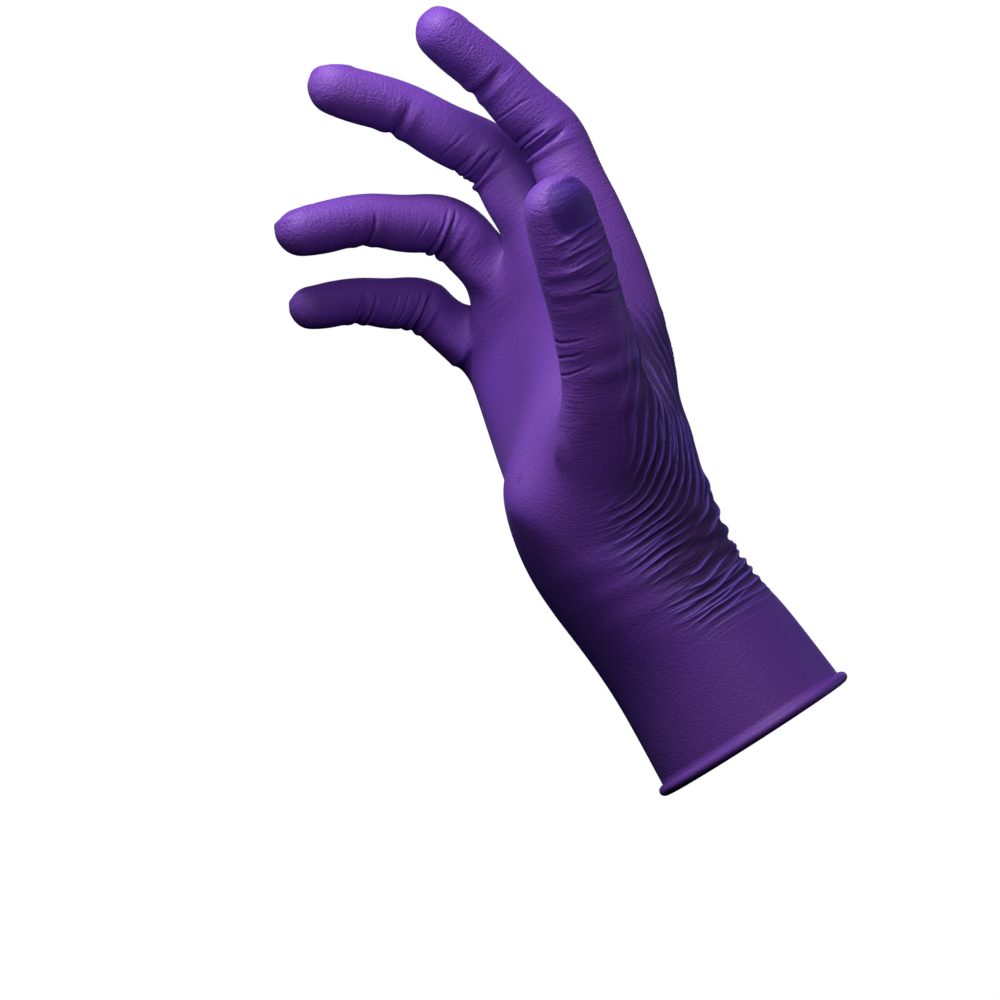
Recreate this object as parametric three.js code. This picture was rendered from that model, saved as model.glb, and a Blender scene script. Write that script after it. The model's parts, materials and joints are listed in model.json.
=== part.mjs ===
// A disposable nitrile exam glove, worn on a right hand that is raised with its fingers half curled.
// The glove is one dipped film: cuff, hand, four fingers and a thumb, open at a rolled bead.
// Millimetres. The origin is the middle of the open end, +Z runs up the forearm, +X is the thumb's side and
// +Y is the back of the hand.
import * as THREE from "three";

// Film and rolled bead
const filmThickness = 1;
const beadRadius = 1.5;
const beadSteps = 6; // faces round the bead

// Cuff, from the open end to the wrist
const cuffLength = 52;
const cuffWidth = 67;
const cuffDepth = 55;
const wristWidth = 60;
const wristDepth = 42;

// Hand, from the wrist to the middle knuckle
const palmLength = 88;
const palmWidth = 80;
const palmDepth = 30;
const heelWidth = 66;
const rootWidth = 73.6; // across the hand where the thumb leaves it
const heelDepth = 42;
const handLean = 17.8; // degrees that the hand is bent back at the wrist
const handTurn = 3; // degrees that it leans to the thumb's side
const wristRounding = 16;
const knuckleShift = -0.07; // where the middle of the knuckles lies across the hand, as a share of palmWidth

// Digits. The fingers' sizes are the middle finger's: its three bones together and its middle joint.
const fingerLength = 103;
const fingerWidth = 18.5;
const thumbLength = 104;
const thumbWidth = 21;
const rootShare = 0.46; // where a finger leaves the hand, as a share of its first bone
const jointRounding = 0.5; // how far a bend at a joint is rounded, as a share of the digit's width
const webDepth = 1; // how far a web dips between two fingers
const webReach = 15; // how far the smoothing of a web reaches
const thumbRootReach = 36;
const smoothingRounds = 20;

// The fingers, from the little one to the index. across, behind and along place the knuckle, as shares of
// palmWidth, palmDepth and palmLength. width is a share of fingerWidth. splay and twist are degrees.
const fingers = [
  { name: "little", across: -0.42, behind: -0.1, along: 0.87, width: 0.86, splay: -3, twist: -2 },
  { name: "ring", across: -0.2, behind: 0.12, along: 0.965, width: 0.97, splay: 2.5, twist: -5 },
  { name: "middle", across: 0.03, behind: 0.1, along: 1, width: 1, splay: -2, twist: -4 },
  { name: "index", across: 0.29, behind: 0.06, along: 0.98, width: 1, splay: 1, twist: 3 },
];

// The thumb's root joint, placed like a knuckle, and its turns in degrees
const thumb = { name: "thumb", across: 0.25, behind: -0.33, along: 0.18, lean: 19, spread: 29, twist: -98 };

// Each digit's three bones, as shares of fingerLength or thumbLength, and the bends at their roots in degrees
const bones = {
  little: { shares: [0.33, 0.204, 0.2], bends: [44, 34, 10] },
  ring: { shares: [0.408, 0.257, 0.262], bends: [38, 39, 14] },
  middle: { shares: [0.447, 0.291, 0.274], bends: [18.3, 33.3, 12] },
  index: { shares: [0.413, 0.233, 0.258], bends: [10, 26, 6] },
  thumb: { shares: [0.433, 0.308, 0.259], bends: [0, 3, -3] },
};

// Swells and hollows of the hand, placed like a knuckle. reach and height are shares of palmDepth.
const swells = [
  { name: "base of the thumb's ball", across: 0.1, behind: -1, along: 0.14, reach: 1, height: 0.26 },
  { name: "ball of the thumb", across: 0.14, behind: -0.85, along: 0.44, reach: 0.75, height: 0.46 },
  { name: "heel of the hand", across: -0.3, behind: -0.7, along: 0.16, reach: 0.75, height: 0.15 },
  { name: "hollow of the palm", across: -0.05, behind: -0.8, along: 0.6, reach: 0.53, height: -0.1 },
];

// Faces round a finger: over its back and under its pad, and down each side
const arcFaces = 4;
const sideFaces = 3;

// Sections of the hand's trunk. at counts bones: 0 is the open end, 1 the wrist, 2 the middle knuckle.
// back and palm are shares of the depth. arch bends the section to the line of the knuckles, and corner is
// the angle from the thumb's side to where the back begins, in radians.
const midWidth = (cuffWidth + wristWidth) / 2;
const midDepth = (cuffDepth + wristDepth) / 2;
const trunkSections = [
  { at: 0, width: cuffWidth, depth: cuffDepth, back: 0.5, palm: 0.5, square: 2, arch: 0, corner: 0.26 },
  { at: 0.5, width: midWidth, depth: midDepth, back: 0.5, palm: 0.5, square: 2.1, arch: 0, corner: 0.28 },
  { at: 1, width: wristWidth, depth: wristDepth, back: 0.43, palm: 0.55, square: 2.2, arch: 0, corner: 0.32 },
  { at: 1.3, width: heelWidth, depth: heelDepth, back: 0.38, palm: 0.62, square: 2, arch: 0.1, corner: 0.4 },
  { at: 1.6, width: rootWidth, depth: palmDepth, back: 0.45, palm: 0.8, square: 2.4, arch: 0.5, corner: 0.5 },
  { at: 2, width: palmWidth, depth: palmDepth, back: 0.34, palm: 0.6, square: 2.8, arch: 1, corner: 0.5 },
];

// Rows of faces on the trunk, as places on the same count, and the window that the thumb leaves through
const trunkRows = [
  0.06, 0.2, 0.34, 0.48, 0.6, 0.7, 0.76, 0.82, 0.88, 0.94, 1, 1.035, 1.07, 1.105, 1.14, 1.18, 1.22, 1.27,
  1.33, 1.4, 1.48, 1.58, 1.69, 1.8, 1.9,
];
const thumbWindow = { firstRow: 16, rowCount: 6, firstColumn: 17, columnCount: 5 };

// Sections of a finger, in shares of its width. at counts bones: 1 is the knuckle and 4 the fingertip.
const fingerSections = [
  { at: 1, wide: 0.62, back: 0.5, pad: 1, square: 4 },
  { at: 1.36, wide: 0.57, back: 0.45, pad: 0.66, square: 2.6 },
  { at: 1.7, wide: 0.52, back: 0.47, pad: 0.56, square: 2 },
  { at: 2, wide: 0.52, back: 0.51, pad: 0.48, square: 2 },
  { at: 2.5, wide: 0.47, back: 0.41, pad: 0.51, square: 2 },
  { at: 3, wide: 0.455, back: 0.4, pad: 0.43, square: 2 },
  { at: 3.5, wide: 0.44, back: 0.36, pad: 0.46, square: 2 },
  { at: 4, wide: 0.4, back: 0.32, pad: 0.4, square: 2 },
];
const fingerRows = [
  1.5, 1.66, 1.8, 1.88, 1.93, 2, 2.09, 2.18, 2.32, 2.5, 2.68, 2.82, 2.9, 3, 3.1, 3.2, 3.36, 3.54, 3.7,
];

// Sections and rows of the thumb, on its own count: 1 is its knuckle, 2 its middle joint and 3 its tip
const thumbSections = [
  { at: 0, wide: 0.95, back: 0.8, pad: 0.95, square: 2 },
  { at: 0.5, wide: 0.75, back: 0.66, pad: 0.8, square: 2 },
  { at: 1, wide: 0.56, back: 0.53, pad: 0.56, square: 2 },
  { at: 1.5, wide: 0.51, back: 0.47, pad: 0.5, square: 2 },
  { at: 2, wide: 0.52, back: 0.47, pad: 0.44, square: 2 },
  { at: 2.5, wide: 0.5, back: 0.36, pad: 0.46, square: 2 },
  { at: 3, wide: 0.44, back: 0.32, pad: 0.42, square: 2 },
];
const thumbRows = [
  0.5, 0.68, 0.82, 0.9, 0.97, 1.05, 1.14, 1.24, 1.36, 1.5, 1.64, 1.75, 1.83, 1.91, 2, 2.09, 2.18, 2.3, 2.48,
  2.68,
];
const tipSteps = 4; // rings that close a fingertip

// Folds across the digits, where the film sinks by foldDepth at a joint and rises again foldPitch away
const foldDepth = 0.8;
const foldPitch = 3;

// side is 1 for the back and -1 for the pad. depth and pitch are shares, and spread is a count of pitches.
const folds = [
  { name: "middle joint, pad", on: "finger", at: 2, side: -1, depth: 1, pitch: 1, spread: 1.6 },
  { name: "end joint, pad", on: "finger", at: 3, side: -1, depth: 0.7, pitch: 0.9, spread: 1.4 },
  { name: "end joint, back", on: "thumb", at: 2, side: 1, depth: 0.75, pitch: 0.97, spread: 3 },
  { name: "knuckle, back", on: "thumb", at: 1, side: 1, depth: 0.85, pitch: 1.2, spread: 3.3 },
];

// Gathers of loose film round the wrist and up the thumb's side of the back of the hand. They reach from
// one place on the trunk to another, and are deepest at an angle round it, given in radians.
const gatherHeight = 0.5;
const gatherPitch = 6;
const gathers = { from: 0.68, to: 1.62, fan: 0.4, angle: 0.5, spread: 1.3 };

const axisX = new THREE.Vector3(1, 0, 0);
const axisY = new THREE.Vector3(0, 1, 0);
const axisZ = new THREE.Vector3(0, 0, 1);

// A turn about one axis by an angle in degrees
function turned(axis, degrees) {
  return new THREE.Quaternion().setFromAxisAngle(axis, THREE.MathUtils.degToRad(degrees));
}

// A value of a table at a place between its rows, eased through each row
function between(rows, column, at) {
  const last = rows.length - 1;
  let row = 0;
  while (row < last - 1 && at > rows[row + 1].at) row += 1;
  const slope = (i) => {
    const low = rows[Math.max(i - 1, 0)];
    const high = rows[Math.min(i + 1, last)];
    return (high[column] - low[column]) / (high.at - low.at);
  };
  const start = rows[row];
  const end = rows[row + 1];
  const span = end.at - start.at;
  const u = THREE.MathUtils.clamp((at - start.at) / span, 0, 1);
  const ease = u * u * (3 - 2 * u);
  const bow = u * (1 - u) * span * ((1 - u) * slope(row) - u * slope(row + 1));
  return start[column] + (end[column] - start[column]) * ease + bow;
}

// A chain of bones. It gives the point and the turn of the frame at t bones along, rounded at the joints.
function chainOf(joints, turns, rounding) {
  return (t) => {
    const bone = THREE.MathUtils.clamp(Math.floor(t), 0, turns.length - 1);
    const share = t - bone;
    const near = share > 0.5 ? bone + 1 : bone;
    const length = joints[bone].distanceTo(joints[bone + 1]);
    const past = (t - near) * length;
    if (near < 1 || near >= turns.length || Math.abs(past) > rounding) {
      return { point: joints[bone].clone().lerp(joints[bone + 1], share), turn: turns[bone].clone() };
    }
    const u = (past / rounding + 1) / 2;
    const before = axisZ.clone().applyQuaternion(turns[near - 1]).multiplyScalar(-rounding);
    const after = axisZ.clone().applyQuaternion(turns[near]).multiplyScalar(rounding);
    const point = joints[near].clone().addScaledVector(before, (1 - u) ** 2).addScaledVector(after, u ** 2);
    return { point, turn: turns[near - 1].clone().slerp(turns[near], u) };
  };
}

// A point of a flattened round section: wide to either side, back upwards and palm downwards
function onSection(angle, wide, back, palm, square = 2) {
  const c = Math.cos(angle);
  const s = Math.sin(angle);
  const power = 2 / square;
  return new THREE.Vector3(
    Math.sign(c) * Math.abs(c) ** power * wide,
    Math.sign(s) * Math.abs(s) ** power * (s > 0 ? back : palm),
    0,
  );
}

const wrist = new THREE.Vector3(0, 0, cuffLength);
const handFrame = turned(axisX, -handLean).multiply(turned(axisY, handTurn));
const middleKnuckle = new THREE.Vector3(0, 0, palmLength).applyQuaternion(handFrame).add(wrist);
const trunkPlace = chainOf(
  [new THREE.Vector3(), wrist, middleKnuckle],
  [new THREE.Quaternion(), handFrame],
  wristRounding,
);

// A place in the hand, from shares of its width, depth and length
function inHand({ across, behind, along }) {
  return new THREE.Vector3(across * palmWidth, behind * palmDepth, along * palmLength)
    .applyQuaternion(handFrame)
    .add(wrist);
}

// The joints and frames of a digit, from its root. A finger has a bone inside the hand before it.
function digitChain(digit, firstTurn, length, handBone) {
  const root = inHand(digit);
  const joints = handBone ? [handBone, root] : [root];
  const turns = handBone ? [handFrame.clone()] : [];
  const frame = firstTurn.clone();
  const { shares, bends } = bones[digit.name];
  let tip = root;
  shares.forEach((share, i) => {
    frame.multiply(turned(axisX, bends[i]));
    turns.push(frame.clone());
    tip = new THREE.Vector3(0, 0, share * length).applyQuaternion(frame).add(tip);
    joints.push(tip);
  });
  return { joints, turns };
}

function fingerPlace(finger) {
  const handBone = inHand({ across: finger.across * 0.6, behind: 0, along: 0.1 });
  const turn = handFrame.clone().multiply(turned(axisY, finger.splay)).multiply(turned(axisZ, finger.twist));
  const { joints, turns } = digitChain(finger, turn, fingerLength, handBone);
  return chainOf(joints, turns, finger.width * fingerWidth * jointRounding);
}

function thumbPlace() {
  const turn = handFrame
    .clone()
    .multiply(turned(axisX, thumb.lean))
    .multiply(turned(axisY, thumb.spread))
    .multiply(turned(axisZ, thumb.twist));
  const { joints, turns } = digitChain(thumb, turn, thumbLength);
  return chainOf(joints, turns, thumbWidth * jointRounding);
}

// The points round one section of a digit, from the ulnar end of its back towards the thumb's side
function digitRing(place, rows, width, at, sides, startAngle, tipAt) {
  const end = Math.min(at, tipAt);
  const { point, turn } = place(end);
  const ring = [];
  for (let i = 0; i < sides; i += 1) {
    const angle = startAngle - (i * 2 * Math.PI) / sides;
    const offset = onSection(
      angle,
      between(rows, "wide", end) * width,
      between(rows, "back", end) * width,
      between(rows, "pad", end) * width,
      between(rows, "square", end),
    );
    ring.push(offset.applyQuaternion(turn).add(point));
  }
  return ring;
}

// The mesh of the film's outside, as points and four-sided faces. A fingertip's pole makes three-sided ones.
const points = [];
const labels = [];
const faces = [];

// Adds a ring of points. The label says what each is on, how far along and at which angle.
function addRing(ring, on, at, angleOf) {
  const first = points.length;
  points.push(...ring);
  ring.forEach((_, i) => labels.push({ on, at, angle: angleOf ? angleOf(i) : 0 }));
  return ring.map((_, i) => first + i);
}

function bridge(low, high) {
  low.forEach((_, i) => {
    const next = (i + 1) % low.length;
    faces.push([low[next], low[i], high[i], high[next]]);
  });
}

// Rings of a digit from the loop it grows out of to its closed tip
function growDigit(on, loop, place, rows, width, stations, startAngle, tipAt) {
  let last = loop;
  const angleOf = (i) => startAngle - (i * 2 * Math.PI) / loop.length;
  stations.forEach((at) => {
    const next = addRing(digitRing(place, rows, width, at, loop.length, startAngle, tipAt), on, at, angleOf);
    bridge(last, next);
    last = next;
  });
  const capFrom = stations[stations.length - 1];
  const tip = place(tipAt).point;
  const base = last.map((i) => points[i].clone());
  const heart = place(capFrom).point;
  for (let step = 1; step < tipSteps; step += 1) {
    const angle = (step / tipSteps) * (Math.PI / 2);
    const ring = base.map((p) => {
      const rim = p.clone().sub(heart).multiplyScalar(Math.cos(angle));
      return heart.clone().lerp(tip, Math.sin(angle)).add(rim);
    });
    const next = addRing(ring, on, tipAt, angleOf);
    bridge(last, next);
    last = next;
  }
  const [pole] = addRing([tip], on, tipAt);
  last.forEach((_, i) => faces.push([last[(i + 1) % last.length], last[i], pole]));
}

const fingerSides = 2 * (arcFaces + sideFaces);
const fingerStart = Math.PI / 2 + (arcFaces / fingerSides) * Math.PI;
const backColumns = fingers.length * arcFaces;
const columns = 2 * (backColumns + sideFaces);
const places = fingers.map(fingerPlace);
const rootAt = 1 + rootShare;

// The angle of a trunk column round its section, with the back starting at the corner's angle
function columnAngle(column, corner = 0.32) {
  const arc = (Math.PI - 2 * corner) / backColumns;
  const side = (2 * corner) / sideFaces;
  if (column <= backColumns) return Math.PI - corner - column * arc;
  const down = column - backColumns;
  if (down <= sideFaces) return corner - down * side;
  const under = down - sideFaces;
  if (under <= backColumns) return -corner - under * arc;
  return -Math.PI + corner - (under - backColumns) * side;
}

// The column of the trunk that a point round a finger's root belongs to, or a web point between two fingers
function rootPoint(finger, i) {
  if (i <= arcFaces) return { column: finger * arcFaces + i };
  if (i < arcFaces + sideFaces) {
    const step = i - arcFaces;
    return finger === fingers.length - 1 ? { column: backColumns + step } : { web: finger, step };
  }
  if (i <= 2 * arcFaces + sideFaces) {
    const under = i - arcFaces - sideFaces;
    return { column: backColumns + sideFaces + (fingers.length - 1 - finger) * arcFaces + under };
  }
  const step = i - 2 * arcFaces - sideFaces;
  return finger === 0 ? { column: columns - sideFaces + step } : { web: finger - 1, step: sideFaces - step };
}

// The ring of a finger where it leaves the hand
function rootRingOf(f) {
  const width = fingers[f].width * fingerWidth;
  return digitRing(places[f], fingerSections, width, rootAt, fingerSides, fingerStart, 4);
}

// The ring of the trunk that follows the roots of the four fingers
function rootsRing() {
  const sums = Array.from({ length: columns }, () => ({ sum: new THREE.Vector3(), count: 0 }));
  fingers.forEach((finger, f) => {
    rootRingOf(f).forEach((p, i) => {
      const { column } = rootPoint(f, i);
      if (column === undefined) return;
      const entry = sums[column % columns];
      entry.sum.add(p);
      entry.count += 1;
    });
  });
  return sums.map(({ sum, count }) => sum.divideScalar(count));
}

// How far the line through the knuckles lies behind and along at a place across the hand
function knuckleLine(across) {
  const rows = fingers.map((finger) => ({ ...finger, at: finger.across }));
  return { behind: between(rows, "behind", across), along: between(rows, "along", across) };
}

function trunkSection(row) {
  const { point, turn } = trunkPlace(row.at);
  return Array.from({ length: columns }, (_, column) => {
    const offset = onSection(
      columnAngle(column, row.corner),
      row.width / 2,
      row.back * row.depth,
      row.palm * row.depth,
      row.square,
    );
    offset.x += row.arch * knuckleShift * palmWidth;
    const { behind, along } = knuckleLine(offset.x / palmWidth);
    offset.y += row.arch * behind * palmDepth;
    offset.z += row.arch * (along - 1) * palmLength;
    return offset.applyQuaternion(turn).add(point);
  });
}

const keyRings = [
  ...trunkSections.map((row) => ({ at: row.at, ring: trunkSection(row) })),
  { at: 1 + rootAt, ring: rootsRing() },
];

// The trunk's points at a place between the key rings, on a smooth curve down each column
function trunkRing(at) {
  return Array.from({ length: columns }, (_, column) => {
    const rows = keyRings.map((key) => {
      const { x, y, z } = key.ring[column];
      return { at: key.at, x, y, z };
    });
    return new THREE.Vector3(between(rows, "x", at), between(rows, "y", at), between(rows, "z", at));
  });
}

const rowPlaces = [...trunkRows, 2, 1 + (rootAt + 1) / 2, 1 + rootAt];
const trunk = rowPlaces.map((at) => addRing(trunkRing(at), "trunk", at, (column) => columnAngle(column)));
const inWindow = (row, column) =>
  row >= thumbWindow.firstRow &&
  row < thumbWindow.firstRow + thumbWindow.rowCount &&
  column >= thumbWindow.firstColumn &&
  column < thumbWindow.firstColumn + thumbWindow.columnCount;
trunk.slice(1).forEach((high, row) => {
  const low = trunk[row];
  low.forEach((_, column) => {
    const next = (column + 1) % columns;
    if (!inWindow(row, column)) faces.push([low[next], low[column], high[column], high[next]]);
  });
});

// The webs: points between neighbouring fingers, a little nearer the palm than the roots
const rootRing = trunk[trunk.length - 1];
const webs = fingers.slice(1).map((_, f) => {
  const low = rootRingOf(f);
  const high = rootRingOf(f + 1);
  const down = axisZ.clone().applyQuaternion(handFrame).multiplyScalar(-webDepth);
  const ring = [];
  for (let step = 1; step < sideFaces; step += 1) {
    const ours = low[arcFaces + step];
    const theirs = high[fingerSides - step];
    ring.push(ours.clone().lerp(theirs, 0.5).add(down));
  }
  return addRing(ring, "web", 0);
});

fingers.forEach((finger, f) => {
  const loop = Array.from({ length: fingerSides }, (_, i) => {
    const { column, web, step } = rootPoint(f, i);
    return column === undefined ? webs[web][step - 1] : rootRing[column % columns];
  });
  const width = finger.width * fingerWidth;
  growDigit("finger", loop, places[f], fingerSections, width, fingerRows, fingerStart, 4);
});

// The thumb's window, walked the same way round as a digit's ring
const windowLoop = [];
const { firstRow, firstColumn } = thumbWindow;
const topRow = firstRow + thumbWindow.rowCount;
const lastColumn = firstColumn + thumbWindow.columnCount;
for (let c = firstColumn; c < lastColumn; c += 1) windowLoop.push(trunk[firstRow][c]);
for (let r = firstRow; r < topRow; r += 1) windowLoop.push(trunk[r][lastColumn]);
for (let c = lastColumn; c > firstColumn; c -= 1) windowLoop.push(trunk[topRow][c]);
for (let r = topRow; r > firstRow; r -= 1) windowLoop.push(trunk[r][firstColumn]);

// The start angle for the thumb's rings that lies closest to the window's first corner
const thumbAt = thumbPlace();
const thumbSides = windowLoop.length;
function twistFit(start) {
  const ring = digitRing(thumbAt, thumbSections, thumbWidth, thumbRows[0], thumbSides, start, 3);
  return ring.reduce((sum, p, i) => sum + p.distanceToSquared(points[windowLoop[i]]), 0);
}
const starts = Array.from({ length: thumbSides }, (_, i) => (i * 2 * Math.PI) / thumbSides);
const thumbStart = starts.reduce((best, start) => (twistFit(start) < twistFit(best) ? start : best));
growDigit("thumb", windowLoop, thumbAt, thumbSections, thumbWidth, thumbRows, thumbStart, 3);

// The points that share a face with each point
const neighbours = points.map(() => new Set());
faces.forEach((face) => {
  face.forEach((v, i) => {
    neighbours[v].add(face[(i + 1) % face.length]);
    neighbours[face[(i + 1) % face.length]].add(v);
  });
});

function middleOf(indices) {
  return indices.reduce((sum, i) => sum.add(points[i]), new THREE.Vector3()).divideScalar(indices.length);
}

// Outward directions at the points, from the faces round each
function outwards() {
  const normals = points.map(() => new THREE.Vector3());
  faces.forEach((face) => {
    for (let i = 1; i < face.length - 1; i += 1) {
      const [a, b, c] = [face[0], face[i], face[i + 1]].map((v) => points[v]);
      const normal = b.clone().sub(a).cross(c.clone().sub(a));
      [face[0], face[i], face[i + 1]].forEach((v) => normals[v].add(normal));
    }
  });
  return normals.map((normal) => normal.normalize());
}

// The swells are pushed out of the palm, and fade towards the hand's sides
const palmWards = new THREE.Vector3(0, -1, 0).applyQuaternion(handFrame);
const swellNormals = outwards();
const swellSpots = swells.map((swell) => ({ ...swell, spot: inHand(swell) }));
points.forEach((p, i) => {
  const facing = THREE.MathUtils.smoothstep(swellNormals[i].dot(palmWards), -0.2, 0.5);
  const rise = swellSpots.reduce(
    (sum, { spot, reach, height }) => {
      const away = p.distanceTo(spot) / (reach * palmDepth);
      return sum + height * palmDepth * Math.exp(-(away ** 2));
    },
    0,
  );
  p.addScaledVector(palmWards, rise * facing);
});

// The film is stretched, so it bridges the webs and the thumb's root in smooth saddles
const smoothed = [
  ...webs.map((web) => ({ spot: middleOf(web), reach: webReach })),
  { spot: middleOf(windowLoop), reach: thumbRootReach },
];
const smoothing = points.map((p) => {
  const near = smoothed.map(({ spot, reach }) => 1 - p.distanceTo(spot) / reach);
  return THREE.MathUtils.smoothstep(Math.max(...near), 0, 0.5);
});
const cuffRows = trunk[0].length;
for (let round = 0; round < smoothingRounds; round += 1) {
  const moved = points.map((p, i) => {
    if (smoothing[i] === 0 || i < cuffRows) return p;
    return p.clone().lerp(middleOf([...neighbours[i]]), smoothing[i] * 0.6);
  });
  moved.forEach((p, i) => points[i].copy(p));
}

// How far the folds across a digit lift or sink one of its points, with the middle finger's bones for all
const boneLengths = {
  finger: bones.middle.shares.map((share) => share * fingerLength),
  thumb: bones.thumb.shares.map((share) => share * thumbLength),
};
const firstBoneAt = { finger: 1, thumb: 0 };
function foldRise({ on, at, angle }) {
  return folds.reduce((sum, fold) => {
    if (fold.on !== on) return sum;
    const bone = (at < fold.at ? fold.at - 1 : fold.at) - firstBoneAt[on];
    const away = ((at - fold.at) * boneLengths[on][bone]) / (fold.pitch * foldPitch);
    const facing = Math.max(0, fold.side * Math.sin(angle)) ** 0.6;
    const fade = Math.exp(-((away / fold.spread) ** 2));
    return sum - fold.depth * foldDepth * facing * fade * Math.cos(Math.PI * away);
  }, 0);
}

// How far the gathers lift a point of the trunk. They fan out towards the hand.
function gatherRise({ on, at, angle }) {
  if (on !== "trunk") return 0;
  const middle = (gathers.from + gathers.to) / 2;
  const along = at < 1 ? (at - 1) * cuffLength : (at - 1) * palmLength;
  const around = (angle * palmWidth) / 2;
  const phase = along - gathers.fan * Math.max(0, at - 1) * around;
  const within = THREE.MathUtils.smoothstep(1 - Math.abs(at - middle) / (middle - gathers.from), 0, 0.6);
  const facing = Math.exp(-(((angle - gathers.angle) / gathers.spread) ** 2));
  return gatherHeight * within * facing * Math.cos((2 * Math.PI * phase) / gatherPitch);
}

const foldNormals = outwards();
points.forEach((p, i) => p.addScaledVector(foldNormals[i], foldRise(labels[i]) + gatherRise(labels[i])));

// The film's inside, one thickness in from its outside
const outerCount = points.length;
const innerNormals = outwards();
const outerFaces = [...faces];
for (let i = 0; i < outerCount; i += 1) {
  points.push(points[i].clone().addScaledVector(innerNormals[i], -filmThickness));
}
outerFaces.forEach((face) => faces.push(face.map((i) => i + outerCount).reverse()));

// The rolled bead round the open end, from the outside of the film round to its inside
const rim = trunk[0];
const beadHeart = beadRadius - filmThickness;
const beadFrom = Math.acos(-beadHeart / beadRadius);
let beadRing = rim;
for (let step = 1; step < beadSteps; step += 1) {
  const angle = beadFrom - (step / beadSteps) * (Math.PI + beadFrom);
  const ring = rim.map((i) => {
    const out = innerNormals[i].clone().setZ(0).normalize();
    const point = points[i].clone().addScaledVector(out, beadHeart + beadRadius * Math.cos(angle));
    return point.setZ(beadRadius + beadRadius * Math.sin(angle));
  });
  const next = addRing(ring, "bead", 0);
  bridge(next, beadRing);
  beadRing = next;
}
bridge(
  rim.map((i) => i + outerCount),
  beadRing,
);

// Each face is cut along its shorter diagonal
const positions = [];
faces.forEach((face) => {
  const [a, b, c, d] = face.map((i) => points[i]);
  const cutFromSecond = d && b.distanceTo(d) < a.distanceTo(c);
  const triangles = d ? (cutFromSecond ? [b, c, d, b, d, a] : [a, b, c, a, c, d]) : [a, b, c];
  triangles.forEach((p) => positions.push(p.x, p.y, p.z));
});
const geometry = new THREE.BufferGeometry();
geometry.setAttribute("position", new THREE.Float32BufferAttribute(positions, 3));
geometry.computeVertexNormals();
const nitrile = new THREE.MeshStandardMaterial({ color: 0x4a2a8c, roughness: 0.45, metalness: 0 });
const glove = new THREE.Mesh(geometry, nitrile);
glove.name = "glove";
const part = new THREE.Group();
part.add(glove);
export default part;
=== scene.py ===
import json
import math
import bpy
import numpy as np
from mathutils import Matrix, Vector, noise

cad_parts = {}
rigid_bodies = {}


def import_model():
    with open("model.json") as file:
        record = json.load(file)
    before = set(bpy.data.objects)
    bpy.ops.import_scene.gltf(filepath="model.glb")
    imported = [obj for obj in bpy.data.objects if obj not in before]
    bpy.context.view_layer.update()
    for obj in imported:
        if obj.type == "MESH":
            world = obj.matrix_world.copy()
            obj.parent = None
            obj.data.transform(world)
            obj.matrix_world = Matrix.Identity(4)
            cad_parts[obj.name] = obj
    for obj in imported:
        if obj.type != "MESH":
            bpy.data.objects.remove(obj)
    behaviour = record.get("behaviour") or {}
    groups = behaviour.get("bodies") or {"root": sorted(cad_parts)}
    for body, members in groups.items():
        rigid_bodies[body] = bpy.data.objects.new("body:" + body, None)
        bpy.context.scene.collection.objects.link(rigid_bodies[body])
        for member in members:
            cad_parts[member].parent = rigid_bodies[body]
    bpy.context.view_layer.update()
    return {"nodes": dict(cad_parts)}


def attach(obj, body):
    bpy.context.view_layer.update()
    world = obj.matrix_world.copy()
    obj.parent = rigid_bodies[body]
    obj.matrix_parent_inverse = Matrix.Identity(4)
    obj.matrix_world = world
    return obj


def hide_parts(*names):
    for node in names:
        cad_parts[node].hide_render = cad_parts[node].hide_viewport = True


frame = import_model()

scene = bpy.context.scene
mm = 0.001


# Camera

camera = {
    "place": (1.06576, -0.74343, 0.03838),
    "aim": (-0.01599, -0.01795, 0.09615),
    "roll": -33.04,  # degrees
    "lens": 165.08,
    "sensor": 36,
    "clip": (0.05, 20),
}


def cameraTurn(place, aim, roll):
    back = (place - aim).normalized()
    right = Vector((0, 0, 1)).cross(back).normalized()
    up = back.cross(right)
    turn = Matrix((right, up, back)).transposed()
    return turn @ Matrix.Rotation(math.radians(roll), 3, "Z")


def makeCamera():
    place = Vector(camera["place"])
    turn = cameraTurn(place, Vector(camera["aim"]), camera["roll"])
    bpy.ops.object.camera_add(location=place, rotation=turn.to_euler())
    view = bpy.context.object
    view.name = "view"
    view.data.lens = camera["lens"]
    view.data.sensor_width = camera["sensor"]
    view.data.clip_start, view.data.clip_end = camera["clip"]
    scene.camera = view
    return turn


cameraAxes = makeCamera()
print("camera placed")


# Small helpers for modelling

def only(piece):
    bpy.ops.object.select_all(action="DESELECT")
    piece.select_set(True)
    bpy.context.view_layer.objects.active = piece


def pointsOf(piece):
    flat = np.zeros(len(piece.data.vertices) * 3)
    piece.data.vertices.foreach_get("co", flat)
    return flat.reshape(-1, 3)


def normalsOf(piece):
    flat = np.zeros(len(piece.data.vertices) * 3)
    piece.data.vertex_normals.foreach_get("vector", flat)
    return flat.reshape(-1, 3)


def setPoints(piece, points):
    piece.data.vertices.foreach_set("co", points.ravel())
    piece.data.update()


def selectFaces(piece, wanted):
    piece.data.vertices.foreach_set("select", np.zeros(len(piece.data.vertices), bool))
    piece.data.edges.foreach_set("select", np.zeros(len(piece.data.edges), bool))
    piece.data.polygons.foreach_set("select", wanted)


def faceCentres(piece):
    flat = np.zeros(len(piece.data.polygons) * 3)
    piece.data.polygons.foreach_get("center", flat)
    return flat.reshape(-1, 3)


def smoothStep(value, low, high):
    share = np.clip((value - low) / (high - low), 0, 1)
    return share * share * (3 - 2 * share)


# Smooth noise with patches of the given size. Each seed reads it in another place.
seedSteps = (7.31, 3.17, 5.53)


def wander(points, size, seed):
    offset = Vector([seed * step for step in seedSteps])
    return np.array([noise.noise(Vector(point) / size + offset) for point in points])


# The hand inside the film: each digit's joints and bones, as in the solids

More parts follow.
